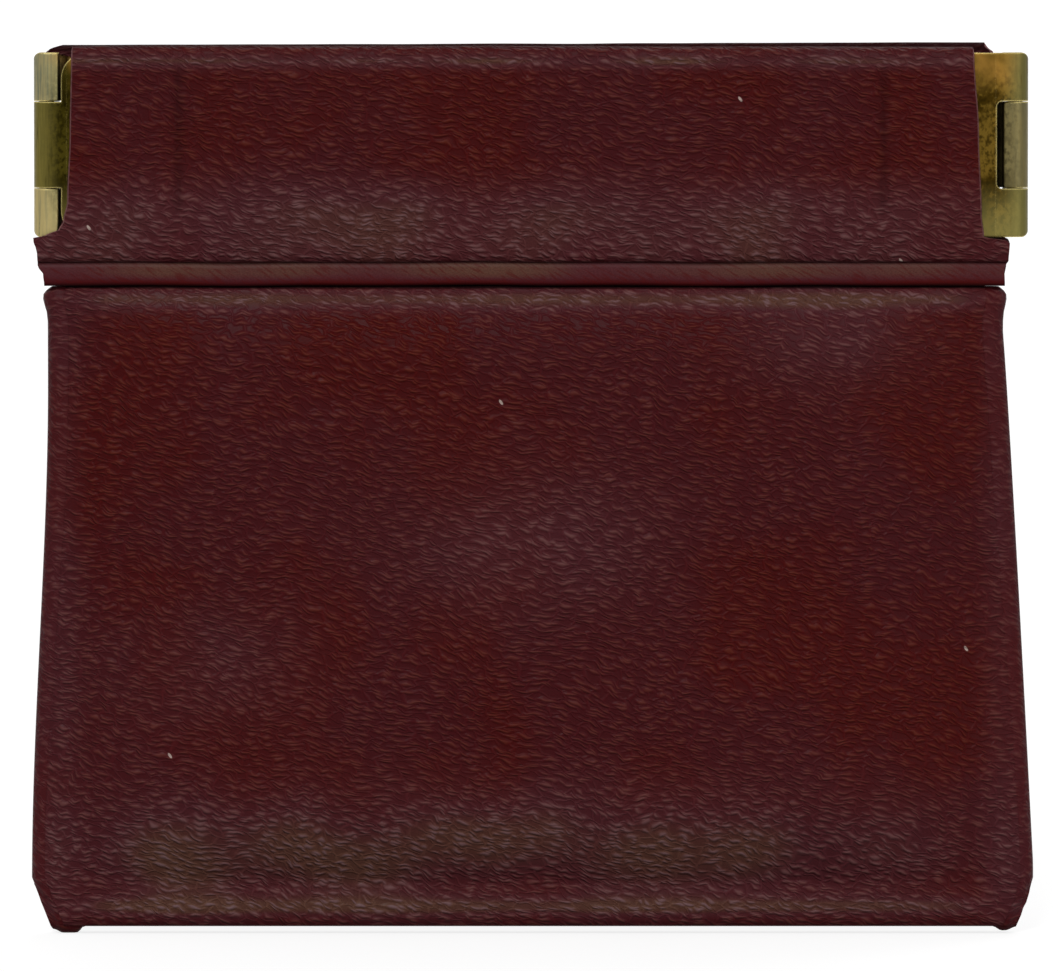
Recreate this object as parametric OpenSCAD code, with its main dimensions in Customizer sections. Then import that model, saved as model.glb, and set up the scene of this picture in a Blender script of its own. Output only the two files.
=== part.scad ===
// Squeeze-top coin purse. Two sprung strips lie in sleeves along the mouth and are hinged together at both ends,
// so that pressing the ends towards each other bows the strips apart and opens the soft pouch below them.
// X runs across the purse, Y through it with the front at -Y, and Z up. It stands on its bottom fold.

/* [Pouch] */
// Height of the closed purse, from its bottom fold to the top of its sleeves
purse_h = 75.5; // [72:0.5:80]
// Width across the bottom corners, where the pouch is widest
bottom_w = 84.8; // [83:0.1:88]
// Width of the pouch just below the crease
crease_w = 81.2; // [80:0.1:82.8]
// Thickness of the closed pouch at its belly
belly_t = 8.2; // [8:0.1:12]
// Thickness of the turned edges at the sides
edge_t = 2.6; // [2.4:0.1:3.2]
// Width of a turned edge, seen from the front
edge_w = 1.6; // [1.2:0.1:2.4]
// Width of the seam allowance inside a turned edge
allowance_w = 3.4; // [2:0.2:5]
// Height of the bottom fold, below the panels
fold_h = 4; // [3:0.2:5]
// Thickness of the covering
cover_t = 0.5; // [0.4:0.05:0.6]

/* [Frame] */
// Width of the closed frame, across its knuckles
frame_w = 84.2; // [83.6:0.1:85]
// Height of a hinge leaf
leaf_h = 15.6; // [14:0.1:18]
// Length of a hinge leaf, from its pin to its inner end
leaf_l = 12; // [9:0.5:14]
// Thickness of the sheet brass
sheet_t = 0.4; // [0.35:0.05:0.5]
// Thickness of a spring strip
strip_t = 0.25; // [0.2:0.05:0.35]
// Radius of a hinge pin
pin_r = 0.65; // [0.55:0.05:0.8]
// Radial clearance of a pin in its knuckles
pin_fit = 0.05; // [0.03:0.01:0.08]
// Height of the slot between the two outer knuckles
slot_h = 7.4; // [6:0.2:8]

/* [Sleeves] */
// Height of the pressed weld band, above the crease
band_h = 2; // [1.6:0.1:2.6]
// Distance from the weld band up to the hinge leaves
under_leaf = 2.05; // [1.5:0.05:2.5]
// How deep the weld band is pressed into the sleeve
band_press = 0.45; // [0.2:0.05:0.6]
// Thickness of the hem on the inner side of a sleeve
hem_t = 0.35; // [0.25:0.05:0.45]
// Distance from the left pin to the edge of the front sleeve
bare_left = 1.9; // [1.8:0.1:3]
// Distance from the right pin to the edge of the front sleeve
bare_right = 3; // [1.8:0.1:3.2]

/* [Hidden] */

$fn = 64;

BRASS = [0.52, 0.43, 0.17];
PIN_BRASS = [0.62, 0.55, 0.33];
SPRING_STEEL = [0.55, 0.57, 0.60];
MAROON = [0.29, 0.07, 0.09];
DARK_MAROON = [0.23, 0.05, 0.07];

// Clearances: loose pieces in one half, the halves at the middle plane, and soft pieces that move past each other
loose = 0.05;
half_gap = 0.15;
soft_gap = 0.4;

// Heights of the sleeves and of what is in them
head_room = 0.25;
leaf_top = purse_h - cover_t - head_room;
leaf_z = leaf_top - leaf_h;
weld_z = leaf_z - under_leaf;
crease_z = weld_z - band_h;

// Distances outwards from the middle plane, from the hem to the outer wall of a sleeve
lip_y = half_gap + hem_t + loose;
strip_y = lip_y + sheet_t;
plate_y = strip_y + strip_t;
plate_out = plate_y + sheet_t;
wall_y = plate_out + loose;
sleeve_out = wall_y + cover_t;

// The hinge at each end of the frame
bore_r = pin_r + pin_fit;
knuckle_r = bore_r + sheet_t;
pin_x = frame_w / 2 - knuckle_r;
web_l = knuckle_r + 0.6;
tongue_h = slot_h - 0.12;
flat_l = knuckle_r - 0.05;
flat_corner_r = 0.2;
tongue_gap = 0.15;
slot_gap = 0.5;
slot_corner_r = 0.45;
shoulder_r = 2.2;
shoulder_in = 1;
tab_corner_r = 0.6;

// The crimps that hold a strip on its leaf
crimp_x = 3.8;
lip_h = 2.4;
strip_x = 3.2;

// The lower ends of the sleeves run on below the hinges, and stop short of the pin's axis
skirt_x = pin_x - 0.4;
skirt_top = leaf_z - 0.1;
sleeve_round = 0.7;

// The pouch below the crease
seam_top = crease_z - soft_gap;
corner_in = 2.1;
corner_h = 4.6;
edge_out = edge_t / 2;
allowance_out = edge_out - cover_t - soft_gap + 0.05;
panel_z = fold_h + 0.3;
panel_h = seam_top - panel_z;
columns = 22;
rows = 24;

// Half the width of the pouch at a height
function half_width(z) = bottom_w / 2 - (bottom_w - crease_w) / 2 * (z - corner_h) / (crease_z - corner_h);
// Half the width of a panel at a height, inside the turned edges
function panel_half(z) = half_width(z) - edge_w - 0.3;
// How full the panel is, from 0 at its sides to 1 at the middle
function across(u) = 1 - pow(abs(u), 4);
// How full it is from its bottom, where it is flat, to its top, where it runs into the weld band
function near_bottom(v) = v < 0.16 ? 1 - pow(1 - v / 0.16, 2) : 1;
function near_top(v) = v > 0.88 ? 1 - 0.75 * pow((v - 0.88) / 0.12, 2) : 1;
// Distance of the panel's outer face from the middle plane
function panel_out(u, v) = edge_out + (belly_t / 2 - edge_out) * across(u) * near_bottom(v) * near_top(v);
// Rows lie closer together towards the top and bottom, and columns towards the sides
function spread(t) = (1 - cos(180 * t)) / 2;

// One panel face as a grid of points, going in from its outer face by some depth
function panel_points(depth) = [
    for (i = [0 : rows], j = [0 : columns])
        let (v = spread(i / rows), u = 2 * spread(j / columns) - 1, z = panel_z + v * panel_h)
        [u * panel_half(z), depth - panel_out(u, v), z]
];

// The end of the roll, which is pressed flat on the side away from the plate
module roll_flat() {
    rise = 0.1;
    translate([0, rise])
        square([flat_l - flat_corner_r, knuckle_r - rise]);
    translate([0, rise])
        square([flat_l, knuckle_r - flat_corner_r - rise]);
    translate([flat_l - flat_corner_r, knuckle_r - flat_corner_r])
        circle(flat_corner_r);
}

// The roll, web and plate of a leaf seen from above, with the pin at the origin and the outside at -Y
module leaf_profile() {
    bend = [web_l, -plate_out];
    touch = atan2(bend.y, bend.x) - acos(knuckle_r / norm(bend));
    out = [cos(touch), sin(touch)];
    reach = 2 * knuckle_r;
    difference() {
        circle(knuckle_r);
        circle(bore_r);
        polygon([
            [0, 0],
            reach * [cos(touch + 6), sin(touch + 6)],
            reach * [cos(-45), sin(-45)],
            reach * [cos(5), sin(5)],
        ]);
    }
    difference() {
        roll_flat();
        circle(bore_r);
    }
    polygon([knuckle_r * out, bend, bend - sheet_t * out, (bore_r + 0.02) * out]);
    translate([web_l - 0.02, -plate_out])
        square([leaf_l - web_l + 0.02, sheet_t]);
}

// Cuts through a leaf from front to back, drawn in X and Z
module leaf_cut() {
    rotate([90, 0, 0])
        linear_extrude(height = 8, center = true)
            children();
}

// What the other leaf's outer knuckle needs, with a curved shoulder up to the leaf's top edge
module shoulder_notch() {
    edge = knuckle_r + tongue_gap;
    low = (leaf_h + tongue_h) / 2;
    high = leaf_h - shoulder_r;
    translate([-4, low])
        square([4 + edge, leaf_h + 1 - low]);
    difference() {
        translate([edge - 0.01, high])
            square([shoulder_in, shoulder_r + 1]);
        translate([edge + shoulder_r, high])
            circle(shoulder_r);
        translate([edge + shoulder_r * 0.45, high - 1])
            square([4, 1 + shoulder_r * 0.84]);
    }
}

// What the other leaf's middle knuckle needs, with round inner corners
module middle_slot() {
    edge = knuckle_r + slot_gap;
    low = (leaf_h - slot_h) / 2;
    translate([-4, low])
        square([4 + edge - slot_corner_r, slot_h]);
    translate([0, low + slot_corner_r])
        square([edge, slot_h - 2 * slot_corner_r]);
    translate([edge - slot_corner_r, low + slot_corner_r])
        circle(slot_corner_r);
    translate([edge - slot_corner_r, low + slot_h - slot_corner_r])
        circle(slot_corner_r);
}

// The round on the outermost corner of an outer knuckle, at the leaf's bottom
module tab_corner() {
    difference() {
        translate([-knuckle_r - 1, -1])
            square([1 + tab_corner_r, 1 + tab_corner_r]);
        translate([-knuckle_r + tab_corner_r, tab_corner_r])
            circle(tab_corner_r);
    }
}

// The crimp along a leaf's bottom edge: a floor and a lip that turns up behind the strip
module crimp() {
    translate([crimp_x, -plate_out, 0])
        cube([leaf_l - crimp_x, plate_out - lip_y, sheet_t]);
    translate([crimp_x, -strip_y, 0])
        cube([leaf_l - crimp_x, sheet_t, sheet_t + lip_h]);
}

module flip_leaf() {
    translate([0, 0, leaf_h])
        mirror([0, 0, 1])
            children();
}

// A hinge leaf for the left end, with one middle knuckle or two outer ones
module leaf(one_knuckle) {
    difference() {
        linear_extrude(height = leaf_h)
            leaf_profile();
        if (one_knuckle) {
            leaf_cut()
                shoulder_notch();
            flip_leaf()
                leaf_cut()
                    shoulder_notch();
        } else {
            leaf_cut()
                middle_slot();
            leaf_cut()
                tab_corner();
            flip_leaf()
                leaf_cut()
                    tab_corner();
        }
    }
    crimp();
    flip_leaf()
        crimp();
}

module half_turn() {
    rotate([0, 0, 180])
        children();
}

module front_left_leaf() {
    color(BRASS)
        translate([-pin_x, 0, leaf_z])
            leaf(true);
}

module front_right_leaf() {
    color(BRASS)
        mirror([1, 0, 0])
            translate([-pin_x, 0, leaf_z])
                leaf(false);
}

// The rear strip is the front one turned round, so its one-knuckle end is on the right
module rear_left_leaf() {
    half_turn()
        front_right_leaf();
}

module rear_right_leaf() {
    half_turn()
        front_left_leaf();
}

// A plain pin with chamfered ends, a little shorter than the knuckles
module hinge_pin(x) {
    end = 0.15;
    chamfer = 0.15;
    length = leaf_h - 2 * end;
    color(PIN_BRASS)
        translate([x, 0, leaf_z + end])
            rotate_extrude()
                polygon([
                    [0, 0],
                    [pin_r - chamfer, 0],
                    [pin_r, chamfer],
                    [pin_r, length - chamfer],
                    [pin_r - chamfer, length],
                    [0, length],
                ]);
}

module left_hinge_pin() {
    hinge_pin(-pin_x);
}

module right_hinge_pin() {
    hinge_pin(pin_x);
}

// Half of a spring strip, from its leaf's crimps to the middle of the purse
module front_left_spring_strip() {
    inset = sheet_t + loose;
    color(SPRING_STEEL)
        translate([-pin_x + strip_x, -plate_y, leaf_z + inset])
            cube([pin_x - strip_x, strip_t, leaf_h - 2 * inset]);
}

module front_right_spring_strip() {
    mirror([1, 0, 0])
        front_left_spring_strip();
}

module rear_left_spring_strip() {
    half_turn()
        front_right_spring_strip();
}

module rear_right_spring_strip() {
    half_turn()
        front_left_spring_strip();
}

// Draws a section, with its X outwards from the middle plane and its Y up, along the front from one X to another
module along_front(from, to) {
    translate([from, 0, 0])
        rotate([90, 0, 90])
            linear_extrude(height = to - from)
                mirror([1, 0])
                    children();
}

// The outside of a sleeve: round at its top edge and pressed in along the weld band
module sleeve_outline(top) {
    translate([half_gap, crease_z])
        square([sleeve_out - band_press - half_gap, band_h]);
    translate([half_gap, weld_z])
        square([sleeve_out - half_gap, top - sleeve_round - weld_z]);
    translate([half_gap, weld_z])
        square([sleeve_out - sleeve_round - half_gap, top - weld_z]);
    translate([sleeve_out - sleeve_round, top - sleeve_round])
        circle(sleeve_round);
}

// Half of a front sleeve that ends at x, with a skirt that runs on below the hinge
module sleeve_half(x) {
    along_front(x, 0)
        difference() {
            sleeve_outline(purse_h);
            translate([lip_y - loose, weld_z])
                square([wall_y - lip_y + loose, leaf_top + loose - weld_z]);
        }
    along_front(-skirt_x, x)
        sleeve_outline(skirt_top);
}

module front_left_sleeve() {
    color(MAROON)
        sleeve_half(-pin_x + bare_left);
}

module front_right_sleeve() {
    color(MAROON)
        mirror([1, 0, 0])
            sleeve_half(-pin_x + bare_right);
}

module rear_left_sleeve() {
    half_turn()
        front_right_sleeve();
}

module rear_right_sleeve() {
    half_turn()
        front_left_sleeve();
}

// A panel of even thickness that swells from its turned edges to the belly
module front_panel() {
    across_n = columns + 1;
    count = (rows + 1) * across_n;
    outer = [
        for (i = [0 : rows - 1], j = [0 : columns - 1])
            let (a = i * across_n + j, b = a + 1, c = a + across_n, d = c + 1)
            each [[a, d, b], [a, c, d]]
    ];
    inner = [for (f = outer) [count + f[0], count + f[2], count + f[1]]];
    sides = [
        for (i = [0 : rows - 1], j = [0, columns])
            let (a = i * across_n + j, c = a + across_n)
            each j == 0
                ? [[a, count + a, c], [c, count + a, count + c]]
                : [[a, c, count + a], [c, count + c, count + a]]
    ];
    ends = [
        for (j = [0 : columns - 1], i = [0, rows])
            let (a = i * across_n + j, b = a + 1)
            each i == 0
                ? [[a, b, count + a], [b, count + b, count + a]]
                : [[a, count + a, b], [b, count + a, count + b]]
    ];
    color(MAROON)
        polyhedron(
            points = concat(panel_points(0), panel_points(cover_t)),
            faces = concat(outer, inner, sides, ends)
        );
}

module rear_panel() {
    half_turn()
        front_panel();
}

// A strip along the left side between two distances in from the pouch's outline, above the bottom fold
module side_strip(from, to, half_t) {
    rotate([90, 0, 0])
        linear_extrude(height = 2 * half_t, center = true)
            polygon([
                [from - half_width(fold_h + 0.6), fold_h + 0.6],
                [to - half_width(fold_h + 0.6), fold_h + 0.6],
                [to - half_width(seam_top), seam_top],
                [from - half_width(seam_top), seam_top],
            ]);
}

// The turned edge of the pouch and the seam allowance that lies flat inside it
module left_side_seam() {
    color(DARK_MAROON)
        union() {
            side_strip(0, edge_w, edge_out);
            side_strip(edge_w - 0.1, edge_w + allowance_w, allowance_out);
        }
}

module right_side_seam() {
    mirror([1, 0, 0])
        left_side_seam();
}

// The turned bottom edge, with clipped corners and a flat underside
module bottom_fold() {
    fold_round = 0.6;
    half_t = edge_out + 0.2;
    widest = half_width(corner_h);
    color(DARK_MAROON)
        intersection() {
            translate([-widest - 1, 0, 0])
                rotate([90, 0, 90])
                    linear_extrude(height = 2 * widest + 2) {
                        translate([-half_t, fold_round])
                            square([2 * half_t, fold_h - fold_round]);
                        translate([-edge_out, fold_h - 1])
                            square([2 * edge_out, 1.6]);
                        translate([fold_round - half_t, 0])
                            square([2 * (half_t - fold_round), fold_h]);
                        for (side = [-1, 1])
                            translate([side * (half_t - fold_round), fold_round])
                                circle(fold_round);
                    }
            rotate([90, 0, 0])
                linear_extrude(height = 10, center = true)
                    difference() {
                        polygon([
                            [-widest + corner_in, 0],
                            [widest - corner_in, 0],
                            [widest, corner_h],
                            [widest, fold_h + 0.6],
                            [-widest, fold_h + 0.6],
                            [-widest, corner_h],
                        ]);
                        translate([edge_w - widest, fold_h])
                            square([2 * (widest - edge_w), 2]);
                    }
        }
}

front_left_leaf();
front_right_leaf();
rear_left_leaf();
rear_right_leaf();
left_hinge_pin();
right_hinge_pin();
front_left_spring_strip();
front_right_spring_strip();
rear_left_spring_strip();
rear_right_spring_strip();
front_left_sleeve();
front_right_sleeve();
rear_left_sleeve();
rear_right_sleeve();
front_panel();
rear_panel();
left_side_seam();
right_side_seam();
bottom_fold();
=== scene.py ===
"""Squeeze coin purse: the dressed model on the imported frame.

Shapes are worked out in mm, in the CAD's own axes, and scaled to metres when a mesh is built.
"""
import math

import bmesh
import bpy
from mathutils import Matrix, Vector, noise


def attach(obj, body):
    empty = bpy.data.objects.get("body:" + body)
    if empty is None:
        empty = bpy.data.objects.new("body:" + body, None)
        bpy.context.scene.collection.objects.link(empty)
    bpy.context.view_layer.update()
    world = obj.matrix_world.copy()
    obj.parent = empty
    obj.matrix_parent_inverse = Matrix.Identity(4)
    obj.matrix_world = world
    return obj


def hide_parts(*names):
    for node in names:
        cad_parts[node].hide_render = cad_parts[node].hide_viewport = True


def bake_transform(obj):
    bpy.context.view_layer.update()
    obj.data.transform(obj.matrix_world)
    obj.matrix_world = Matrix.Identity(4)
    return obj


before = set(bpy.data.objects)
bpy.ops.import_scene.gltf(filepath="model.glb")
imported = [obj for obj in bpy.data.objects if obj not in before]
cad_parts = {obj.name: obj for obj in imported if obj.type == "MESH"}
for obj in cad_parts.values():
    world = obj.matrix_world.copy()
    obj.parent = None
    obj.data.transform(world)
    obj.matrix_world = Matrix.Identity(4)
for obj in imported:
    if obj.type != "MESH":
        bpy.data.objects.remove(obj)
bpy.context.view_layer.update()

MM = 0.001
FRONT = -1
REAR = 1

# Sizes that the solids have too
PIN_X = 41.0
OPEN = math.radians(22)
PANEL_TILT = math.radians(17.6)
PANEL_Z = 4.3
PANEL_REACH = 50.4
EDGE_OUT = 1.3
BELLY_OUT = 4.1
LEAF_END = 29.8
LEAF_LOW = 59.2
LEAF_TOP = 74.7
STRIP_END = 37.8
STRIP_OUT = 1.2
STRIP_IN = 0.95

# A strip is straight from its crimps to here, and bends between
STRIP_STILL = 29.0

# How far a sleeve's faces and its hem are from the middle plane
SLEEVE_OUT = 2.16
SLEEVE_IN = 1.65
HEM_IN = 0.15
HEM_OUT = 0.5

# The groove above the pressed band, and the top edge of the panel's face below it
GROOVE_Z = 56.98
PANEL_TOP = 54.6

SHARP = math.radians(55)


def smooth(t):
    """Eases from 0 to 1."""
    t = min(1.0, max(0.0, t))
    return t * t * (3 - 2 * t)


def through(at, points):
    """Eases from each (place, value) to the next."""
    if at <= points[0][0]:
        return points[0][1]
    for (a, low), (b, high) in zip(points, points[1:]):
        if at <= b:
            return low + (high - low) * smooth((at - a) / (b - a))
    return points[-1][1]


def hump(at, centre, width):
    """A smooth hump, 1 at its centre."""
    return math.exp(-(((at - centre) / width) ** 2))


def steps(start, end, count):
    """Evenly spaced numbers from start to end."""
    return [start + (end - start) * i / count for i in range(count + 1)]


def arc(out, z, radius, first, last, count):
    """Points on an arc, as (distance from the middle plane, height)."""
    angles = [math.radians(a) for a in steps(first, last, count)]
    return [(out + radius * math.cos(a), z + radius * math.sin(a)) for a in angles]


def drift(x, z, size, seed):
    """Gentle unevenness between about -1 and 1, the same on each run."""
    return noise.noise(Vector((x / size, z / size, seed)))


# The outline of the pouch


def pouch_left(z):
    """How far the pouch reaches to its left at a height: small shoulder, slight flare, clipped corner."""
    side = 40.95 + 1.45 * smooth((47 - z) / 43) + 0.4 * hump(z, 54.0, 1.0)
    corner = through(z, [(0.0, 40.5), (0.9, 40.9), (2.0, 41.35), (3.2, 41.85), (4.8, 42.4)])
    return min(side, corner)


def pouch_right(z):
    """How far the pouch reaches to its right at a height, with the same parts as on the left."""
    side = 40.0 + 2.65 * min(1, max(0, (51 - z) / 45)) ** 0.9 + 0.3 * hump(z, 54.0, 1.0)
    corner = through(z, [(0.0, 41.0), (0.7, 41.25), (1.8, 41.7), (3.2, 42.3), (5.5, 42.8)])
    return min(side, corner)


def across_pouch(s, z, inset):
    """A place across the pouch, from -1 at its left side to 1 at its right."""
    return s * ((pouch_left(z) if s < 0 else pouch_right(z)) - inset)


# Building meshes


# How smooth the cover is, how much painted shade and how much painted sheen it gets at a point, each from 0
# to 1
MARKS = ("pressed", "painted_shade", "painted_sheen_mark")


def build(name, points, faces, uvs, slots, marks):
    """A mesh object from points in mm. marks gives the three MARKS at a point."""
    mesh = bpy.data.meshes.new(name)
    mesh.from_pydata([Vector(p) * MM for p in points], [], faces)
    places = mesh.uv_layers.new(name="cover")
    for loop in mesh.loops:
        places.data[loop.index].uv = uvs[loop.vertex_index]
    mesh.polygons.foreach_set("material_index", slots)
    found = [marks(*p) for p in points]
    for i, mark in enumerate(MARKS):
        values = [min(1.0, levels[i]) for levels in found]
        mesh.attributes.new(mark, "FLOAT", "POINT").data.foreach_set("value", values)
    bm = bmesh.new()
    bm.from_mesh(mesh)
    bmesh.ops.recalc_face_normals(bm, faces=bm.faces)
    for edge in bm.edges:
        edge.smooth = edge.calc_face_angle(0) < SHARP
    for face in bm.faces:
        face.smooth = True
    bm.to_mesh(mesh)
    bm.free()
    made = bpy.data.objects.new(name, mesh)
    bpy.context.scene.collection.objects.link(made)
    return made


def thick_sheet(name, outer, inner, marks, flat=False):
    """A closed sheet from two equal grids of points, with a slot each for outer face, inner face and rim.

    The grain is measured along the sheet, or with flat=True by height alone.
    """
    rows, cols = len(outer), len(outer[0])
    points = [p for grid in (outer, inner) for row in grid for p in row]
    half = rows * cols
    quads = [(i * cols + j, i * cols + j + 1, (i + 1) * cols + j + 1, (i + 1) * cols + j)
             for i in range(rows - 1) for j in range(cols - 1)]
    faces = list(quads) + [tuple(half + v for v in reversed(q)) for q in quads]
    slots = [0] * len(quads) + [1] * len(quads)
    border = list(range(cols))
    border += [i * cols + cols - 1 for i in range(1, rows)]
    border += [(rows - 1) * cols + j for j in range(cols - 2, -1, -1)]
    border += [i * cols for i in range(rows - 2, 0, -1)]
    for a, b in zip(border, border[1:] + border[:1]):
        faces.append((a, half + a, half + b, b))
        slots.append(2)
    middle = [row[cols // 2] for row in outer]
    run = [middle[0][2]]
    for p, q in zip(middle, middle[1:]):
        run.append(q[2] if flat else run[-1] + math.dist(p, q))
    uvs = [(p[0], run[i]) for grid in (outer, inner) for i, row in enumerate(grid) for p in row]
    return build(name, points, faces, uvs, slots, marks)


def loft(name, rings, uv, marks):
    """A closed solid through rings of points, capped at both ends."""
    count = len(rings[0])
    points = [p for ring in rings for p in ring]
    faces = []
    for i in range(len(rings) - 1):
        for j in range(count):
            k = (j + 1) % count
            faces.append((i * count + j, i * count + k, (i + 1) * count + k, (i + 1) * count + j))
    last = (len(rings) - 1) * count
    faces.append(tuple(reversed(range(count))))
    faces.append(tuple(last + j for j in range(count)))
    return build(name, points, faces, [uv(*p) for p in points], [0] * len(faces), marks)


def weigh(obj, share):
    """Works out how far each point of a blended piece would go with its second body, but stores nothing."""
    values = [share(*(vertex.co / MM)) for vertex in obj.data.vertices]


# Materials


# How softly SMOOTH_MAX joins two heights; the other operations leave it unused
JOIN = 0.2


class Nodes:
    """A material's nodes, added one by one."""

    def __init__(self, name):
        self.material = bpy.data.materials.new(name)
        self.material.use_nodes = True
        self.tree = self.material.node_tree
        self.shader = self.tree.nodes["Principled BSDF"]

    def add(self, kind, inputs=(), **settings):
        node = self.tree.nodes.new("ShaderNode" + kind)
        for key, value in settings.items():
            setattr(node, key, value)
        for key, value in dict(inputs).items():
            self.put(node, key, value)
        return node

    def put(self, node, key, value):
        if isinstance(value, bpy.types.NodeSocket):
            self.tree.links.new(value, node.inputs[key])
        else:
            node.inputs[key].default_value = value

    def math(self, operation, a, b=0.0, clamp=False):
        return self.add("Math", {0: a, 1: b, 2: JOIN}, operation=operation, use_clamp=clamp).outputs[0]

    def ramp(self, value, low, high, to_low=0.0, to_high=1.0):
        inputs = {0: value, 1: low, 2: high, 3: to_low, 4: to_high}
        return self.add("MapRange", inputs, interpolation_type="SMOOTHSTEP").outputs[0]

    def mix(self, share, a, b):
        node = self.add("Mix", data_type="RGBA")
        self.put(node, 0, share)
        self.put(node, 6, a)
        self.put(node, 7, b)
        return node.outputs[2]

    def noise(self, vector, scale, detail=2.0, rough=0.5, dims="3D"):
        inputs = {"Vector": vector, "Scale": scale, "Detail": detail, "Roughness": rough}
        return self.add("TexNoise", inputs, noise_dimensions=dims)

    def stretch(self, vector, scale, turn=0.0):
        """The place, turned first and then scaled, so that long features lie at the angle turn."""
        inverse = tuple(1 / s for s in scale)
        inputs = {"Vector": vector, "Scale": inverse, "Rotation": (0, 0, math.radians(turn))}
        return self.add("Mapping", inputs, vector_type="TEXTURE").outputs[0]

    def bump(self, height, strength, distance, normal=None):
        inputs = {"Height": height, "Strength": strength, "Distance": distance}
        if normal is not None:
            inputs["Normal"] = normal
        return self.add("Bump", inputs).outputs[0]


def colour(red, green, blue):
    """A colour given as it looks on screen, from 0 to 255."""
    def linear(c):
        c /= 255
        return c / 12.92 if c <= 0.04045 else ((c + 0.055) / 1.055) ** 2.4
    return (linear(red), linear(green), linear(blue), 1)


def darker(tone, share):
    """A colour at a share of its brightness."""
    return tuple(c * share for c in tone[:3]) + (1,)


# The cover: its painted sheen, weak and strong, its ridges, lighter with wear and a painted highlight, the
# painted shade in its hollows, its pores and the painted shade in its grooves and creases
PAINTED_LUSTRE = colour(82, 44, 50)
PAINTED_OLIVE_LUSTRE = colour(88, 58, 46)
RIDGE_WEAR_AND_LIGHT = colour(94, 42, 28)
PAINTED_HOLLOW_SHADE = colour(40, 2, 5)
PORE = colour(34, 2, 4)
PAINTED_SHADE_TONE = colour(10, 2, 3)
LINT = colour(185, 165, 155)

# The brass: its yellowest part and its burnished edges, whose brightness is partly a painted highlight
WARM_BRASS = colour(148, 108, 48)
BURNISHED_EDGE_AND_GLINT = colour(235, 215, 140)


def wandering(n, place):
    """The place, pushed about so that the grain flows unevenly."""
    half = (0.5, 0.5, 0.5)
    for scale, reach in [(0.1, 2.2), (0.75, 0.6)]:
        push = n.noise(place, scale, 1.0, dims="2D").outputs["Color"]
        push = n.add("VectorMath", {0: push, 1: half}, operation="SUBTRACT").outputs[0]
        push = n.add("VectorMath", {0: push, "Scale": reach}, operation="SCALE").outputs[0]
        place = n.add("VectorMath", {0: place, 1: push}, operation="ADD").outputs[0]
    return place


def cells(n, place, scale, randomness, feature="F1"):
    """A flat pattern of cells: how far each place is from their middles or borders."""
    inputs = {"Vector": place, "Scale": scale, "Randomness": randomness}
    return n.add("TexVoronoi", inputs, voronoi_dimensions="2D", feature=feature).outputs["Distance"]


def grain_height(n, place):
    """Short, thin, wavy wrinkles that fall a little to the right, with a faint net between."""
    flow = wandering(n, place)
    height = 0.0
    for scale, turn, wide, share in [((0.46, 1.8, 1), -11, 0.5, 1.0), ((0.58, 2.1, 1), -22, 0.44, 0.9)]:
        spread = cells(n, n.stretch(flow, scale, turn), 1.0, 0.85)
        height = n.math("SMOOTH_MAX", height, n.ramp(spread, 0.0, wide, share, 0.0))
    border = cells(n, n.stretch(flow, (0.68, 1.6, 1), -17), 1.0, 0.9, "DISTANCE_TO_EDGE")
    return n.math("SMOOTH_MAX", height, n.ramp(border, 0.0, 0.16, 0.45, 0.0))


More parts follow.
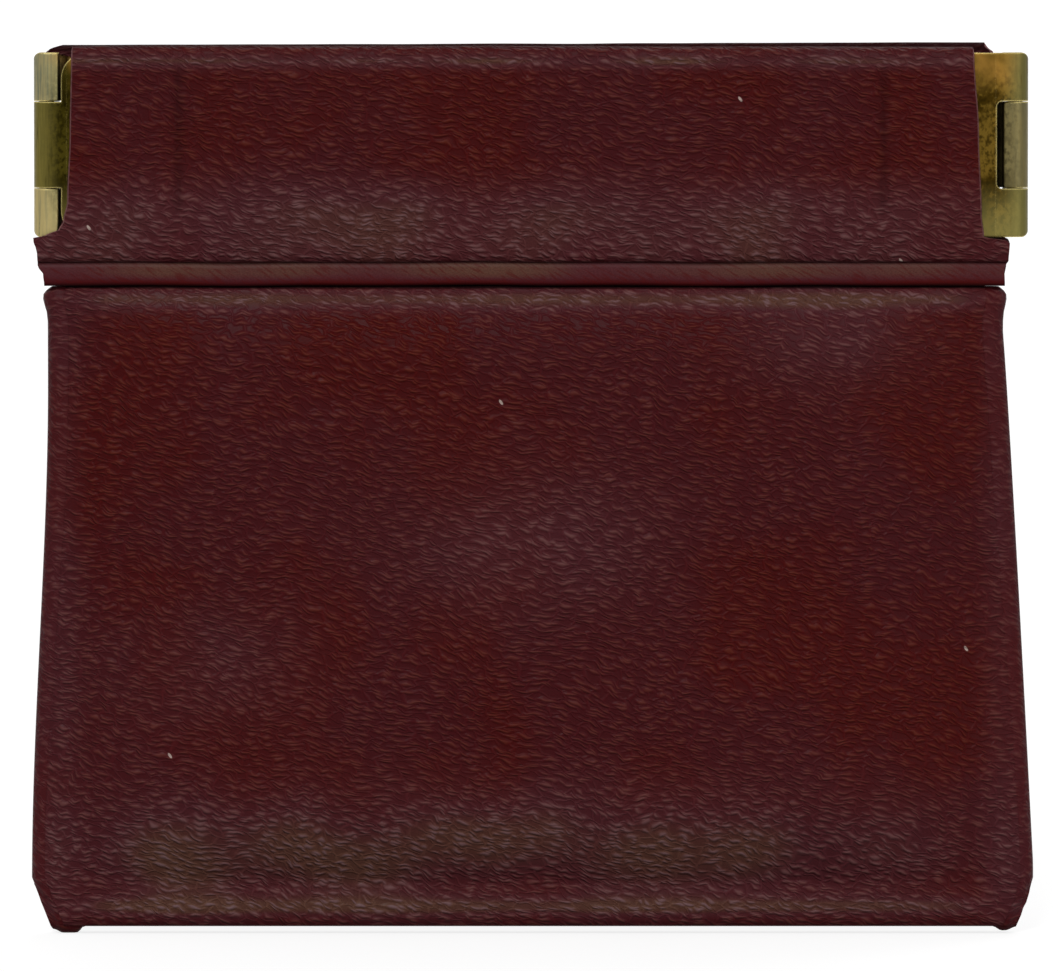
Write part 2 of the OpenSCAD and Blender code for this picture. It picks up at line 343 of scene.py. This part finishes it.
def leatherette(name, deep, warm, wear_and_highlight, grain=1.0, base_rough=0.4):
    """Grained, coated cover: thin ridges on maroon, lighter with wear and a painted highlight, painted shade
    in the hollows, a painted grey and olive sheen, painted shade in grooves, smooth where pressed.
    """
    n = Nodes(name)
    place = n.add("UVMap", uv_map="cover").outputs[0]
    # The second mark is painted shade, and the third is painted sheen.
    pressed, painted_shade, painted_sheen_mark = [n.add("Attribute", attribute_name=mark).outputs["Fac"] for mark in MARKS]
    ridges = grain_height(n, place)
    pores = n.noise(n.stretch(place, (3.6, 5.4, 1), 12), 1.6, 2.0, 0.6, "2D").outputs["Fac"]
    streaks = n.noise(n.stretch(place, (0.6, 4.0, 1), -32), 1.2, 1.0, 0.5, "2D").outputs["Fac"]
    patches = n.noise(place, 0.07, 2.0, 0.5, "2D").outputs["Fac"]
    free = n.math("SUBTRACT", 1.0, pressed, clamp=True)
    # Painted sheen: lamp highlights painted into the colour, grey where weak and olive where strong.
    painted_sheen = n.math("ADD", painted_sheen_mark, n.ramp(patches, 0.35, 0.65, 0.1, 0.0), clamp=True)

    tone = n.mix(n.ramp(patches, 0.38, 0.62), deep, warm)
    tone = n.mix(painted_sheen, tone, n.mix(n.ramp(painted_sheen, 0.45, 0.9), PAINTED_LUSTRE, PAINTED_OLIVE_LUSTRE))
    # Painted shade in the hollows of the grain.
    tone = n.mix(n.math("MULTIPLY", free, n.ramp(ridges, 0.0, 0.4, 0.32, 0.0)), tone, PAINTED_HOLLOW_SHADE)
    tone = n.mix(n.ramp(pores, 0.3, 0.7, 0.28, 0.0), tone, PORE)
    # Painted highlight on the crests of the grain, partly also wear.
    crest_highlight = n.math("MULTIPLY", n.ramp(ridges, 0.42, 1.0), n.ramp(painted_sheen, 0.0, 0.7, 0.42, 0.78))
    tone = n.mix(n.math("MULTIPLY", crest_highlight, free, clamp=True), tone, n.mix(painted_sheen, RIDGE_WEAR_AND_LIGHT, wear_and_highlight))
    tone = n.mix(n.math("MULTIPLY", n.ramp(streaks, 0.45, 0.75, 0.0, 0.6), pressed), tone, warm)
    # Painted shade darkens grooves, creases and edges.
    n.put(n.shader, "Base Color", fleck(n, place, n.mix(painted_shade, tone, PAINTED_SHADE_TONE)))

    rough = n.ramp(pores, 0.3, 0.7, base_rough - 0.04, base_rough + 0.08)
    rough = n.math("SUBTRACT", rough, n.math("MULTIPLY", painted_sheen, 0.07))
    n.put(n.shader, "Roughness", n.math("ADD", rough, n.math("MULTIPLY", painted_shade, 0.5), clamp=True))
    n.shader.inputs["Specular IOR Level"].default_value = 0.06
    depth = n.math("MULTIPLY", n.math("ADD", n.math("MULTIPLY", free, 0.97), 0.03), grain)
    relief = n.bump(n.math("MULTIPLY", ridges, depth), 1.0, 0.00015)
    fine = n.math("MULTIPLY", pores, n.math("ADD", n.math("MULTIPLY", free, 0.75), 0.25))
    n.put(n.shader, "Normal", n.bump(fine, 0.35, 0.00003, relief))
    return n.material


def fleck(n, place, tone):
    """Very few specks of pale lint, far apart."""
    spread = cells(n, n.stretch(place, (1.0, 0.45, 1), 35), 0.036, 1.0)
    return n.mix(n.ramp(spread, 0.003, 0.005, 0.7, 0.0), tone, LINT)


def backing(name, base):
    """The cover's brushed inner side: matt and fibrous."""
    n = Nodes(name)
    place = n.add("UVMap", uv_map="cover").outputs[0]
    fibres = n.noise(n.stretch(place, (2.4, 5.0, 1), 30), 1.5, 4.0, 0.65, "2D").outputs["Fac"]
    blotch = n.noise(place, 0.16, 2.0, 0.5, "2D").outputs["Fac"]
    light = tuple(min(1, c * 1.9) for c in base[:3]) + (1,)
    tone = n.mix(n.ramp(fibres, 0.3, 0.75, 0.0, 0.8), base, light)
    tone = n.mix(n.ramp(blotch, 0.4, 0.7, 0.0, 0.35), tone, darker(base, 0.6))
    n.put(n.shader, "Base Color", tone)
    n.put(n.shader, "Roughness", n.ramp(fibres, 0.2, 0.8, 0.78, 0.95))
    n.shader.inputs["Specular IOR Level"].default_value = 0.15
    n.put(n.shader, "Normal", n.bump(fibres, 0.5, 0.00006))
    return n.material


def cut_edge(name):
    """The raw edge of the cover, paler than its face, with layers."""
    n = Nodes(name)
    place = n.add("TexCoord").outputs["Object"]
    fibres = n.noise(n.stretch(place, (900, 900, 2600)), 1.0, 3.0, 0.6).outputs["Fac"]
    tone = n.mix(n.ramp(fibres, 0.3, 0.7), colour(72, 26, 30), colour(112, 66, 66))
    n.put(n.shader, "Base Color", tone)
    n.put(n.shader, "Roughness", n.ramp(fibres, 0.2, 0.8, 0.65, 0.9))
    n.put(n.shader, "Normal", n.bump(fibres, 0.6, 0.00005))
    return n.material


def aged_brass(name, dull, bright, knuckle, patina):
    """Sheet brass, mottled on its flats, streaked on its knuckles, and burnished along its cut edges, with a
    painted highlight there too.
    """
    n = Nodes(name)
    place = n.add("TexCoord").outputs["Object"]
    apart = n.add("SeparateXYZ", {0: place})
    up = apart.outputs["Z"]
    clouds = n.noise(place, 300, 2.0, 0.5).outputs["Fac"]
    mottle = n.noise(n.stretch(place, (2600, 2600, 2000)), 1.0, 3.0, 0.6).outputs["Fac"]
    streaks = n.noise(n.stretch(place, (5200, 5200, 300)), 1.0, 3.0, 0.6).outputs["Fac"]
    rolled = n.ramp(n.math("ABSOLUTE", apart.outputs["X"]), 0.0396, 0.042)

    flat = n.mix(n.ramp(clouds, 0.4, 0.6), dull, bright)
    flat = n.mix(n.ramp(mottle, 0.43, 0.66, 0.0, 0.8), flat, darker(dull, 0.4))
    flat = n.mix(n.ramp(mottle, 0.45, 0.33, 0.0, 0.7), flat, bright)
    top = n.mix(n.ramp(clouds, 0.35, 0.65), bright, WARM_BRASS)
    flat = n.mix(n.ramp(up, 0.0705, LEAF_TOP * MM, 0.0, 0.75), flat, top)
    flat = n.mix(n.ramp(up, LEAF_LOW * MM, 0.0645, 0.7, 0.0), flat, knuckle)

    aged = n.ramp(streaks, 0.38, 0.62, 0.0, 0.5)
    aged = n.math("ADD", aged, n.ramp(up, 0.0685, 0.0715, -0.1, 0.45), clamp=True)
    roll = n.mix(aged, knuckle, patina)
    roll = n.mix(n.ramp(streaks, 0.6, 0.74), roll, n.mix(n.ramp(mottle, 0.4, 0.6), dull, bright))

    # The cut edges are brightened, partly as burnished wear and partly as a painted highlight.
    rounded = n.add("Bevel", {"Radius": 0.00026}, samples=6).outputs[0]
    surface = n.add("NewGeometry").outputs["Normal"]
    alike = n.add("VectorMath", {0: rounded, 1: surface}, operation="DOT_PRODUCT").outputs["Value"]
    wear_and_highlight = n.math("MULTIPLY", n.ramp(alike, 0.8, 0.96, 1.0, 0.0), n.ramp(clouds, 0.3, 0.55, 0.75, 1.0))
    n.put(n.shader, "Base Color", n.mix(wear_and_highlight, n.mix(rolled, flat, roll), BURNISHED_EDGE_AND_GLINT))
    n.put(n.shader, "Metallic", 1.0)
    rough = n.math("ADD", n.ramp(mottle, 0.3, 0.7, 0.28, 0.42), n.math("MULTIPLY", rolled, 0.05))
    n.put(n.shader, "Roughness", n.math("SUBTRACT", rough, n.math("MULTIPLY", wear_and_highlight, 0.08), clamp=True))
    drawn = n.math("MULTIPLY", n.math("MULTIPLY", streaks, rolled), 0.8)
    relief = n.math("ADD", n.math("MULTIPLY", mottle, 0.5), drawn)
    n.put(n.shader, "Normal", n.bump(relief, 0.35, 0.00003, rounded))
    return n.material


def rolled_steel(name):
    """Spring steel strip with fine lengthwise rolling lines."""
    n = Nodes(name)
    place = n.add("UVMap", uv_map="cover").outputs[0]
    lines = n.noise(n.stretch(place, (0.12, 9, 1)), 1.0, 3.0, 0.6, "2D").outputs["Fac"]
    spots = n.noise(place, 0.35, 3.0, 0.6, "2D").outputs["Fac"]
    tone = n.mix(n.ramp(lines, 0.3, 0.7), colour(150, 154, 160), colour(190, 193, 198))
    n.put(n.shader, "Base Color", n.mix(n.ramp(spots, 0.6, 0.8, 0.0, 0.5), tone, colour(120, 96, 72)))
    n.put(n.shader, "Metallic", 1.0)
    n.put(n.shader, "Roughness", n.ramp(lines, 0.2, 0.8, 0.24, 0.4))
    n.put(n.shader, "Normal", n.bump(lines, 0.3, 0.00002))
    return n.material


# The pieces of the cover


def sleeve_section():
    """The cover round a strip: pairs of outer and inner points, from the band up and down the hem."""
    band = [(1.2, 55.02), (1.5, 55.03), (1.66, 55.12), (1.73, 55.35), (1.75, 55.7), (1.75, 56.1)]
    band += [(1.73, 56.5), (1.68, 56.78), (1.58, 56.92)]
    pairs = [((out, z), (0.52, max(55.08, z))) for out, z in band]
    pairs += [((1.56, 57.0), (0.54, 57.05)), ((1.66, 57.08), (0.7, 57.2)), ((1.86, 57.16), (1.0, 57.35))]
    pairs += [((1.99, 57.35), (1.3, 57.6)), ((2.08, 57.7), (1.52, 57.95)), ((2.14, 58.15), (1.63, 58.4))]
    at_leaf = [58.5, 58.7, 58.9, 59.1, 59.2, 59.3, 59.4, 59.55, 59.75, 60, 60.4, 60.9]
    pairs += [((SLEEVE_OUT, z), (SLEEVE_IN, z)) for z in at_leaf + steps(61.5, 73.0, 23)]
    pairs += [((out, z), (SLEEVE_IN, z)) for out, z in [(2.15, 73.4), (2.12, 73.8), (2.07, 74.2)]]
    pairs += list(zip(arc(1.2, 74.65, 0.85, 8, 90, 8), arc(1.36, 74.7, 0.3, 0, 90, 8)))
    pairs += list(zip(arc(0.75, 74.9, 0.6, 100, 180, 6), arc(0.75, 74.75, 0.25, 100, 180, 6)))
    down_hem = steps(74.3, 57.4, 14) + steps(57.0, 55.08, 5)
    return pairs + [((HEM_IN, z), (HEM_OUT, z)) for z in down_hem]


# How far a sleeve reaches to its left or right at a height, where the leaves stick out of its ends


def front_left_edge(z):
    low = [(55.1, 41.2), (56.1, 41.3), (56.7, 41.75), (58.3, 41.8), (58.6, 42.05), (59.05, 42.1)]
    high = [(59.35, 40.9), (59.8, 39.85), (60.4, 39.48), (62.3, 39.1), (68, 38.88), (75, 38.75)]
    return through(z, low + high)


def front_right_edge(z):
    low = [(55.1, 40.1), (56.6, 40.05), (57.2, 40.4), (58.8, 40.5)]
    return through(z, low + [(59.2, 38.2), (61, 38.0), (68, 37.75), (75, 37.35)])


def rear_left_edge(z):
    low = [(55.1, 40.6), (57, 40.8), (58.8, 40.7), (59.2, 38.5), (61, 38.1)]
    return through(z, low + [(74.72, 38.0), (74.82, 41.0), (75.1, 40.8), (75.7, 39.3)])


def rear_right_edge(z):
    low = [(55.1, 40.0), (57, 40.3), (58.8, 40.6), (59.3, 39.6), (60.4, 39.3)]
    return through(z, low + [(74.6, 39.1), (75.2, 38.4)])


def band_wave(x, z):
    """How far the band's groove strays up and down."""
    return 0.1 * drift(x, 0, 10, 20) * smooth((57.6 - z) / 0.8)


def sleeve(name, side, left, right, rise):
    """One whole sleeve. Its ends follow left and right, and rise lifts its top edge."""
    # The top edge is darkened as painted shade, more on the rear sleeve, which stands further back.
    dark_top, dark_from = (0.75, 74.6) if side == REAR else (0.6, 75.0)

    def place(point, x_share, inside):
        out, z = point
        x = x_share * (left(z) if x_share < 0 else right(z))
        if inside and abs(x_share) == 1 and z > 59:
            x += x_share * 0.13
        face = smooth((z - 58) / 2) * (out > 1.4)
        push = face * (0.05 * smooth((abs(x) - LEAF_END) / 0.5) + 0.09 * drift(x, z, 11, 3 + side))
        push += 0.09 * face * hump(z, 61.5, 3.0)
        lift = rise(x) * smooth((z - 66) / 9)
        wave = 0.06 * drift(x, 0, 7, 11 + side) * smooth((z - 72) / 3)
        wave += band_wave(x, z)
        return (x, side * (out + push), z + lift + wave)

    def marks(x, y, z):
        outside = abs(y) > 1.0
        pressed = smooth((57.15 - z) / 0.3) * outside
        z -= band_wave(x, z)
        # Painted shade in the groove above the band, under the band and at the leaf ends, and painted sheen
        # on the band, low on the sleeve and along its top edge.
        groove = hump(z, GROOVE_Z, 0.09) * (1.2 < abs(y) < 1.85)
        under = smooth((55.2 - z) / 0.12)
        dent = hump(abs(x), LEAF_END, 0.4) * smooth((z - 61) / 1) * smooth((74 - z) / 1)
        painted_groove_shade = 0.7 * groove + 0.8 * under + 0.35 * dent * outside
        top = dark_top * smooth((z - dark_from) / 0.35)
        if pressed > 0.5:
            painted_sheen_mark = (0.66 + 0.35 * drift(x, z, 9, 6)) * smooth((z - 55.3) / 0.6)
        else:
            painted_sheen_mark = 0.6 * smooth((66 - z) / 5) * (0.8 + 0.5 * drift(x, z, 8, 5))
            painted_sheen_mark += 0.9 * hump(z, 74.1, 0.6) * (0.75 + 0.5 * drift(x, 0, 8, 9))
        return pressed, max(painted_groove_shade, top), max(0, painted_sheen_mark)

    shares = [math.sin(s * math.pi / 2) * 0.5 + s * 0.5 for s in steps(-1, 1, 170)]
    outer = [[place(point, s, False) for s in shares] for point, _ in sleeve_section()]
    inner = [[place(point, s, True) for s in shares] for _, point in sleeve_section()]
    return thick_sheet(name, outer, inner, marks)


def turned_width(z):
    """How much of the turned side edge shows beside a panel."""
    return 1.15 + 0.65 * smooth((z - 8) / 38) + 0.12 * drift(0, z, 6, 4)


def panel_out(x_share, z):
    """How far a panel's face is from the middle plane: a bead, then a belly, then in to the crease."""
    across = 1 - abs(x_share) ** 4
    up = (z - PANEL_Z) / PANEL_REACH
    bottom = 1 - (1 - up / 0.16) ** 2 if 0 < up < 0.16 else float(up >= 0.16)
    top = 1 - 0.75 * ((min(up, 1) - 0.88) / 0.12) ** 2 if up > 0.88 else 1
    face = EDGE_OUT + 0.04 + (BELLY_OUT - EDGE_OUT) * across * bottom * top
    bead = through(z, [(0.7, 0.0), (1.25, 0.26), (2.2, 0.36), (3.1, 0.27), (5.5, 0.0)])
    bead *= 1 - abs(x_share) ** 14
    if z < 12:
        return max(face, EDGE_OUT + bead) + 0.05 * bead
    if z > PANEL_TOP:
        return through(z, [(54.78, face), (55.02, 1.1), (55.5, 0.75)])
    return face


def panel_heights():
    """Where a panel's rows of points are, close together at the bead and at the crease."""
    bead = [0.72, 0.95, 1.25, 1.6, 1.9, 2.2, 2.6, 3.1, 3.6, 4.1, 4.6, 5.1, 5.6]
    above = [6.2, 6.9, 7.7, 8.6, 9.6, 10.7, 11.8]
    crease = [53.0, 53.4, 53.8, 54.1, 54.35, 54.5, 54.65, 54.78, 54.86, 54.94, 55.02]
    tucked = [55.25, 55.5, 56.2, 57.2, 58.2]
    return bead + above + steps(13, 52.4, 46) + crease + tucked


def painted_sheen_on_panel(x, z):
    """Patches of painted sheen, where the lamps' highlights fall: each has a middle, a half width, a half
    height and a strength.
    """
    patches = [(-0.5, 33.5, 10, 6, 0.5), (-22, 6.8, 19, 4.5, 0.85), (14, 7.8, 24, 4.5, 0.8)]
    patches += [(26, 50, 7, 4, 0.4), (-27, 22, 9, 6, 0.3)]
    return sum(strength * hump(x, a, wide) * hump(z, b, high) for a, b, wide, high, strength in patches)


def panel(name, side, seed):
    """A front or rear panel, its top edge tucked up inside the weld band and its bottom turned under."""
    def place(x_share, z, depth):
        x = across_pouch(x_share, min(z, PANEL_TOP), turned_width(z))
        out = panel_out(x_share, z)
        loose = smooth((z - 6) / 9) * smooth((54 - z) / 8) * (1 - abs(x_share) ** 6)
        out += loose * (0.25 * drift(x, z, 19, seed) + 0.12 * drift(x, z, 8, seed + 5))
        if z > 54:
            z += 0.16 * drift(x, 0, 7, seed) * smooth((56 - z) / 1)
        return (x, side * max(0.3, out - depth), z)

    def marks(x, y, z):
        # Painted shade in the crease and along the bottom, and painted sheen in patches, below the crease,
        # on the bottom bead and near the sides.
        crease = smooth((z - 54.72) / 0.2) * (1 - 0.85 * smooth((z - 55.15) / 0.25))
        painted_sheen = painted_sheen_on_panel(x * -side, z) * (0.9 + 0.5 * drift(x, z, 7, seed))
        painted_fold_highlights = 0.75 * hump(z, 53.9, 0.9) + 0.65 * hump(z, 2.35, 0.8)
        painted_sheen += painted_fold_highlights * smooth((40.5 - abs(x)) / 5) + 0.25 * smooth((abs(x) - 37) / 3)
        return 0.0, 0.9 * crease + 0.5 * smooth((1.4 - z) / 0.7), max(0, painted_sheen)

    shares = [math.sin(s * math.pi / 2) for s in steps(-1, 1, 110)]
    outer = [[place(s, z, 0.0) for s in shares] for z in panel_heights()]
    inner = [[place(s, z, 0.45 if z < 55 else 0.35) for s in shares] for z in panel_heights()]
    return thick_sheet(name, outer, inner, marks, flat=True)


def side_edge(name, side, reach):
    """A turned side edge: front and rear roll in to the seam, and the seam allowance lies flat inside."""
    def ring(z, lean):
        roll = [(2.6, 1.1), (1.9, 1.25), (1.35, 1.3), (0.85, 1.24), (0.4, 1.02), (0.1, 0.66), (0.0, 0.38)]
        roll += [(0.1, 0.14)]
        shape = roll + [(0.22, 0.0)] + [(a, -b) for a, b in reversed(roll)]
        shape += [(3.4, -0.42), (5.0, -0.42), (5.0, 0.42), (3.4, 0.42)]
        far = reach(z) - lean
        return [(side * (far - a), -b * (1 - 0.5 * lean), z) for a, b in shape]

    def marks(x, y, z):
        # Painted shade in the valley of the seam, and a little painted sheen.
        return 0.25, 0.85 * hump(y, 0, 0.13) * (abs(x) > reach(z) - 1.2), 0.25

    heights = steps(3.1, 52, 60) + [52.8, 53.4, 53.9, 54.3, 54.6, 54.8, 54.95]
    rings = [ring(z, 0.5 * max(0, (z - 54.2) / 0.75) ** 2 + 0.14 * (z < 3.5)) for z in heights]
    return loft(name, rings, lambda x, y, z: (x + side * (EDGE_OUT - abs(y)), z), marks)


def bottom_edge(name):
    """The turned bottom edge: a soft bead, with clipped corners and small ears on which the purse stands."""
    def ring(share):
        half = [(0.8, 4.2), (1.05, 3.9), (1.15, 3.4), (1.2, 2.6), (1.2, 2.0), (1.2, 1.5), (1.22, 1.15)]
        half += [(1.12, 0.86), (0.95, 0.7), (0.65, 0.6), (0.35, 0.56)]
        shape = half + [(0.0, 0.55)] + [(-a, b) for a, b in reversed(half)] + [(-0.4, 3.9), (0.4, 3.9)]
        points = []
        for out, z in shape:
            ear = 0.55 * smooth((-share - 0.93) / 0.025) + 0.36 * smooth((share - 0.95) / 0.025)
            round_off = 0.3 * smooth((abs(share) - 0.982) / 0.018)
            drop = (ear - round_off) * smooth((1.6 - z) / 1.0)
            thin = 1 - 0.5 * smooth((abs(share) - 0.975) / 0.025)
            points.append((across_pouch(share, z - drop, 0.0), -out * thin, z - drop))
        return points

    def marks(x, y, z):
        # Painted shade low down, and a painted highlight along the bead.
        return 0.15, 0.4 * smooth((1.2 - z) / 0.8), 0.5 * hump(z, 2.3, 0.8)

    shares = [math.sin(s * math.pi / 2) for s in steps(-1, 1, 140)]
    return loft(name, [ring(s) for s in shares], lambda x, y, z: (x, z + abs(y)), marks)


def strip(name, side):
    """A spring strip in its sleeve, whole from crimp to crimp."""
    xs = steps(-STRIP_END, STRIP_END, 90)
    zs = [59.6, 59.75, 62, 66, 70, 74, 74.15, 74.3]
    outer = [[(x, side * STRIP_OUT, z) for x in xs] for z in zs]
    inner = [[(x, side * STRIP_IN, z) for x in xs] for z in zs]
    return thick_sheet(name, outer, inner, lambda x, y, z: (0.0, 0.0, 0.0))


# How the soft pieces follow the frame


def strip_turn(along):
    """How far a strip is turned at a distance along it from the middle, with the mouth wide open."""
    return OPEN * (1 - 2 * smooth((STRIP_STILL - along) / (2 * STRIP_STILL)))


def bow(x):
    """How far a sleeve stands out from the middle plane at a place across, with the mouth wide open."""
    x = abs(x)
    along = x
    for _ in range(12):
        along = min(PIN_X, x / math.cos(strip_turn(along)))
    return max(0.0, PIN_X * math.sin(OPEN) - along * math.sin(strip_turn(along)))


def follow_sleeve(obj):
    """Bakes the panel's placing into its mesh, and works out how far it would lean out with the sleeve above
    it, staying at the side seams; the shares are not stored.
    """
    def share(x, y, z):
        lean = math.asin(bow(x) / PANEL_REACH) / PANEL_TILT
        return min(1.0, lean) * smooth((z - 3.4) / 3.2)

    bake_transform(obj)
    weigh(obj, share)


def bend_at_middle(obj):
    """Bakes the piece's placing into its mesh points."""
    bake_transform(obj)


def finish_piece(obj, nodes, materials):
    """Its materials, and the solids that it takes the place of, which it hides."""
    for material in materials:
        obj.data.materials.append(material)
    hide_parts(*nodes)


def front_rise(x):
    """How far the front sleeve's top edge stands above the solid's."""
    return -0.12 - 0.0018 * (x + 38)


def rear_rise(x):
    """How far the rear sleeve's top edge stands above the solid's: it shows above the front one."""
    return -0.12 + 0.003 * (x + 38)


def make_cover():
    deep, warm, wear_and_highlight = colour(63, 5, 9), colour(68, 6, 5), colour(104, 80, 84)
    face = leatherette("cover_face", deep, warm, wear_and_highlight)
    edge = leatherette("cover_edge_face", deep, warm, wear_and_highlight, 0.8, 0.44)
    sheet_materials = [face, backing("cover_backing", colour(52, 22, 24)), cut_edge("cover_raw_edge")]

    front = sleeve("front_sleeve", FRONT, front_left_edge, front_right_edge, front_rise)
    rear = sleeve("rear_sleeve", REAR, rear_left_edge, rear_right_edge, rear_rise)
    bend_at_middle(front)
    bend_at_middle(rear)
    finish_piece(front, ["front_left_sleeve", "front_right_sleeve"], sheet_materials)
    finish_piece(rear, ["rear_left_sleeve", "rear_right_sleeve"], sheet_materials)

    front = panel("front_cover_panel", FRONT, 2)
    rear = panel("rear_cover_panel", REAR, 8)
    follow_sleeve(front)
    follow_sleeve(rear)
    finish_piece(front, ["front_panel"], sheet_materials)
    finish_piece(rear, ["rear_panel"], sheet_materials)

    for name, side, reach in [("left", -1, pouch_left), ("right", 1, pouch_right)]:
        made = side_edge(name + "_turned_edge", side, reach)
        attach(made, "pouch")
        finish_piece(made, [name + "_side_seam"], [edge])
    made = bottom_edge("bottom_turned_edge")
    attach(made, "pouch")
    finish_piece(made, ["bottom_fold"], [edge])


def make_strips():
    steel = rolled_steel("spring_steel_strip")
    for name, side in [("front", FRONT), ("rear", REAR)]:
        made = strip(name + "_spring_strip", side)
        bend_at_middle(made)
        halves = [name + "_left_spring_strip", name + "_right_spring_strip"]
        finish_piece(made, halves, [steel] * 3)


def dress_hinges():
    """Better metal for the solids that stay: dull, bright, knuckle and patina colours for each kind. The
    kinds are one brass, darker or lighter partly as painted reflection and shade.
    """
    tones = {"olive": [(34, 28, 4), (62, 54, 14), (108, 98, 48), (84, 78, 38)],
             "gold": [(50, 36, 6), (90, 70, 24), (104, 97, 54), (92, 87, 50)],
             "grey": [(96, 92, 60), (140, 130, 88), (164, 148, 100), (98, 102, 84)],
             "dull": [(62, 54, 32), (98, 88, 56), (106, 96, 62), (92, 88, 64)],
             "pin": [(90, 78, 40), (130, 112, 64), (110, 102, 66), (98, 102, 84)]}
    metals = {kind: aged_brass("brass_" + kind, *[colour(*c) for c in four]) for kind, four in tones.items()}
    # Each part's tone copies how bright it looked, so it holds painted reflection and shade as well as
    # tarnish.
    tone_by_part = {"front_left_leaf": "olive", "rear_left_leaf": "grey", "front_right_leaf": "gold",
               "rear_right_leaf": "dull", "left_hinge_pin": "pin", "right_hinge_pin": "pin"}
    for node, kind in tone_by_part.items():
        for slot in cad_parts[node].material_slots:
            slot.material = metals[kind]


# The stage, the lamps and the camera


def white_where_seen(tree):
    """1 for what the camera and mirror-like surfaces see, and 0 for light that falls on the object."""
    path = tree.nodes.new("ShaderNodeLightPath")
    share = path.outputs["Is Camera Ray"]
    for other in ("Is Glossy Ray", "Is Transmission Ray"):
        either = tree.nodes.new("ShaderNodeMath")
        either.operation = "MAXIMUM"
        tree.links.new(share, either.inputs[0])
        tree.links.new(path.outputs[other], either.inputs[1])
        share = either.outputs[0]
    return share


def add_world():
    """White where it is seen, and dimmer as a light."""
    world = bpy.data.worlds.new("studio")
    bpy.context.scene.world = world
    world.use_nodes = True
    tree = world.node_tree
    background = tree.nodes["Background"]
    strength = tree.nodes.new("ShaderNodeMapRange")
    strength.inputs["To Min"].default_value = 0.55
    strength.inputs["To Max"].default_value = 1.0
    tree.links.new(white_where_seen(tree), strength.inputs["Value"])
    tree.links.new(strength.outputs[0], background.inputs["Strength"])
    background.inputs["Color"].default_value = (1, 1, 1, 1)


def add_floor():
    """A wide pale floor. Its white is partly its own glow and partly lamplight, so it keeps a shadow."""
    bpy.ops.mesh.primitive_plane_add(size=60)
    floor = bpy.context.object
    floor.name = "floor"
    material = bpy.data.materials.new("pale_floor")
    material.use_nodes = True
    tree = material.node_tree
    lit = tree.nodes["Principled BSDF"]
    lit.inputs["Roughness"].default_value = 0.9
    lit.inputs["Specular IOR Level"].default_value = 0.0
    lit.inputs["Base Color"].default_value = (0.9, 0.9, 0.9, 1)
    glow = tree.nodes.new("ShaderNodeEmission")
    glow.inputs["Color"].default_value = (1, 1, 1, 1)
    level = tree.nodes.new("ShaderNodeMath")
    level.operation = "MULTIPLY"
    level.inputs[1].default_value = 1.16
    tree.links.new(white_where_seen(tree), level.inputs[0])
    tree.links.new(level.outputs[0], glow.inputs["Strength"])
    share = tree.nodes.new("ShaderNodeMixShader")
    share.inputs[0].default_value = 0.66
    tree.links.new(lit.outputs[0], share.inputs[1])
    tree.links.new(glow.outputs[0], share.inputs[2])
    tree.links.new(share.outputs[0], tree.nodes["Material Output"].inputs["Surface"])
    floor.data.materials.append(material)


def add_sun(name, strength, softness, azimuth, elevation):
    """A soft far lamp. Azimuth 0 stands in front of the purse, and 90 to its right."""
    data = bpy.data.lights.new(name, "SUN")
    data.energy = strength
    data.angle = math.radians(softness)
    lamp = bpy.data.objects.new(name, data)
    bpy.context.scene.collection.objects.link(lamp)
    a, e = math.radians(azimuth), math.radians(elevation)
    towards = Vector((math.sin(a) * math.cos(e), -math.cos(a) * math.cos(e), math.sin(e)))
    lamp.rotation_euler = towards.to_track_quat("Z", "Y").to_euler()
    lamp.location = towards


def add_camera():
    """Square on to the front from far off, as in the flat picture, and just above the floor."""
    lens, sensor, picture_width = 400, 36, 89.66
    tilt = math.radians(3)
    data = bpy.data.cameras.new("camera")
    data.sensor_fit = "HORIZONTAL"
    data.sensor_width = sensor
    data.lens = lens
    camera = bpy.data.objects.new("camera", data)
    bpy.context.scene.collection.objects.link(camera)
    centre = Vector((-0.13, -2.0, 38.14)) * MM
    distance = picture_width * MM * lens / sensor
    camera.location = centre + distance * Vector((0, -math.cos(tilt), math.sin(tilt)))
    camera.rotation_euler = (math.pi / 2 - tilt, 0, 0)
    bpy.context.scene.camera = camera


make_cover()
make_strips()
dress_hinges()
add_world()
add_floor()
add_sun("key", 1.26, 14, -12, 36)
add_sun("back", 0.8, 40, 165, 50)
add_sun("fill", 0.7, 40, 25, 12)
add_camera()
bpy.context.scene.view_settings.view_transform = "Standard"
